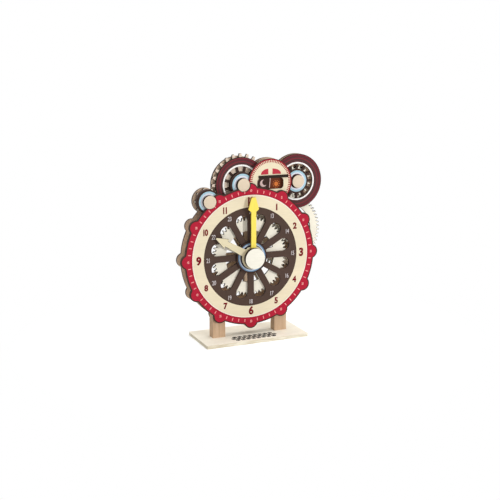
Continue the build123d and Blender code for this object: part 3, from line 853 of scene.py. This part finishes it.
# Hands.
# Arrows cut from thin plywood: the hour hand is left bare and the minute hand is painted yellow.
# The laser burnt both edges, and the hour hand's edge is darker still as painted shade; paint makes the
# minute hand's edge a lighter brown.
HOUR_FACE = (224, 212, 178)
YELLOW = (246, 224, 100)
YELLOW_EDGE = (150, 122, 56)
YELLOW_EDGE_DARK = (84, 64, 34)

dress(plywood("hour_hand_ply", HOUR_FACE, BURNT_AND_SHADED_EDGE, BURNT_AND_SHADED_EDGE_DARK), "hour_hand")
dress(plywood("minute_hand_paint", YELLOW, YELLOW_EDGE, YELLOW_EDGE_DARK, "Z"), "minute_hand")

# Knobs.
# Round blocks cut by the laser, with a pale sanded face, a burnt side and a blind bore for the dowel.
# The large one holds the minute hand, and the three small ones turn the top wheels.
BIG_KNOB = (240, 236, 222)
SMALL_KNOB = (222, 204, 180)
KNOB_SIDE = (62, 46, 36)
KNOB_SIDE_DARK = (36, 26, 19)
KNOB_SIDES = 96
KNOB_BORE = 3.05 * mm
KNOB_BORE_DEPTH = 3.0 * mm
KNOB_EDGE = 0.5 * mm
KNOB_EDGE_STEPS = 4
SHARP_EDGE = radians(30)
# A face counts as the back one when it looks backwards by more than this
BACK_FACE = 0.99


def select_back(piece):
    """Select the faces of the open piece that look backwards."""
    mesh = bmesh.from_edit_mesh(piece.data)
    for face in mesh.faces:
        face.select_set(False)
    for face in mesh.faces:
        if face.normal.y > BACK_FACE:
            face.select_set(True)
    bmesh.update_edit_mesh(piece.data)


def round_knob(node, name, finish, body):
    """A disc drawn out to its length, bored from the back, with its sharp edges taken off."""
    low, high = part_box(node)
    radius = (high.x - low.x) / 2
    x, z = middle_of(node)
    piece = flat_disc(radius, KNOB_SIDES, (x, high.y, z), UPRIGHT)
    edit()
    bpy.ops.mesh.extrude_region_move(TRANSFORM_OT_translate={"value": (0.0, low.y - high.y, 0.0)})
    bpy.ops.mesh.select_all(action="SELECT")
    bpy.ops.mesh.normals_make_consistent(inside=False)
    select_back(piece)
    bpy.ops.mesh.inset(thickness=radius - KNOB_BORE)
    bpy.ops.mesh.extrude_region_move(TRANSFORM_OT_translate={"value": (0.0, -KNOB_BORE_DEPTH, 0.0)})
    bpy.ops.mesh.select_all(action="SELECT")
    bpy.ops.mesh.normals_make_consistent(inside=False)
    close()
    rounding = piece.modifiers.new("rounding", "BEVEL")
    rounding.width = KNOB_EDGE
    rounding.segments = KNOB_EDGE_STEPS
    bpy.ops.object.modifier_apply(modifier=rounding.name)
    bpy.ops.object.shade_smooth_by_angle(angle=SHARP_EDGE)
    finish_piece(piece, name, finish, body)
    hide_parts(node)


big_knob_face = plywood("big_knob_wood", BIG_KNOB, KNOB_SIDE, KNOB_SIDE_DARK)
small_knob_face = plywood("small_knob_wood", SMALL_KNOB, KNOB_SIDE, KNOB_SIDE_DARK)
round_knob("minute_knob", "minute_knob_block", big_knob_face, "minute")
for wheel in ("right_wheel", "left_wheel", "small_wheel"):
    round_knob(wheel + "_knob", wheel + "_knob_block", small_knob_face, wheel)

# Camera, floor and light.
# The camera looks from a little to the left of the dial and above it, over a white floor.
# A small lamp lights the dial from the right, and a broad one hangs above.
VIEW_TURN = radians(-23.417)
VIEW_RISE = radians(12.03)
VIEW_DISTANCE = 1387.2 * mm
VIEW_AIM = Vector((-1.873, -11.0, 136.544)) * mm
SENSOR = 36.0
LENS = 66.89

back_from_aim = Vector((
    sin(VIEW_TURN) * cos(VIEW_RISE), -cos(VIEW_TURN) * cos(VIEW_RISE), sin(VIEW_RISE)))
camera = bpy.data.objects.new("camera", bpy.data.cameras.new("camera"))
camera.data.lens = LENS
camera.data.sensor_width = SENSOR
camera.location = VIEW_AIM + VIEW_DISTANCE * back_from_aim
camera.rotation_euler = back_from_aim.to_track_quat("Z", "Y").to_euler()
bpy.context.scene.collection.objects.link(camera)
bpy.context.scene.camera = camera
bpy.context.scene.view_settings.view_transform = "Standard"

FLOOR_SIZE = 12.0
FLOOR_SIDES = 96
FLOOR_GAP = 0.05 * mm
FLOOR_ALBEDO = (225, 225, 225)
FLOOR_ROUGHNESS = 0.9
FLOOR_LIFT = 0.34
FLOOR_FADE_START = 0.12
FLOOR_FADE_END = 0.36
FULL_WHITE = (1.0, 1.0, 1.0, 1.0)

start()
bpy.ops.mesh.primitive_circle_add(vertices=FLOOR_SIDES, radius=FLOOR_SIZE / 2, fill_type="NGON")
floor = bpy.context.object
floor.name = "floor"
floor.location.z = -FLOOR_GAP


def seen_directly(tree):
    """1 for what the camera sees straight, in a mirror or through glass, and 0 for light on the object."""
    path = tree.nodes.new("ShaderNodeLightPath")
    seen = arithmetic(tree, "MAXIMUM", path.outputs["Is Camera Ray"], path.outputs["Is Glossy Ray"])
    return arithmetic(tree, "MAXIMUM", seen, path.outputs["Is Transmission Ray"])


floor_finish, floor_tree, floor_surface, floor_spot = new_finish("floor_white", FLOOR_ROUGHNESS, shine=0.0)
floor_surface.inputs["Base Color"].default_value = screen(*FLOOR_ALBEDO)
seen = seen_directly(floor_tree)
lifted = arithmetic(floor_tree, "MULTIPLY", seen, FLOOR_LIFT)
lift = add_node(floor_tree, "Emission", {0: FULL_WHITE, 1: lifted})
near_floor = add_node(floor_tree, "AddShader", {0: floor_surface.outputs[0], 1: lift.outputs[0]})
far = add_node(floor_tree, "VectorMath", {0: floor_spot.outputs["Object"]}, operation="LENGTH")
fade = add_node(
    floor_tree, "MapRange", {0: far.outputs["Value"], 1: FLOOR_FADE_START, 2: FLOOR_FADE_END},
    interpolation_type="SMOOTHSTEP")
white_share = arithmetic(floor_tree, "MULTIPLY", fade.outputs[0], seen)
plain_white = add_node(floor_tree, "Emission", {0: FULL_WHITE, 1: 1.0})
floor_mix = add_node(
    floor_tree, "MixShader", {0: white_share, 1: near_floor.outputs[0], 2: plain_white.outputs[0]})
floor_output = floor_tree.nodes["Material Output"]
floor_tree.links.new(floor_mix.outputs[0], floor_output.inputs["Surface"])
floor.data.materials.append(floor_finish)

ROOM_LIGHT = 0.43
world = bpy.data.worlds.new("studio")
bpy.context.scene.world = world
world.use_nodes = True
world_tree = world.node_tree
room = world_tree.nodes["Background"]
room.inputs[0].default_value = FULL_WHITE
room.inputs[1].default_value = ROOM_LIGHT
backdrop = add_node(world_tree, "Background", {0: FULL_WHITE, 1: 1.0})
world_mix = add_node(
    world_tree, "MixShader", {0: seen_directly(world_tree), 1: room.outputs[0], 2: backdrop.outputs[0]})
world_tree.links.new(world_mix.outputs[0], world_tree.nodes["World Output"].inputs["Surface"])

# Place, size and power of each lamp
KEY_LAMP = ((0.75, -1.45, 0.42), 0.16, 10.4)
TOP_LAMP = ((0.1, 0.0, 1.9), 3.0, 42.0)


def lamp(name, place, size, power):
    """A round lamp that points at the clock."""
    data = bpy.data.lights.new(name, "AREA")
    data.shape = "DISK"
    data.size = size
    data.energy = power
    made = bpy.data.objects.new(name, data)
    made.location = place
    made.rotation_euler = (Vector(place) - VIEW_AIM).to_track_quat("Z", "Y").to_euler()
    bpy.context.scene.collection.objects.link(made)


lamp("key_lamp", *KEY_LAMP)
lamp("top_lamp", *TOP_LAMP)
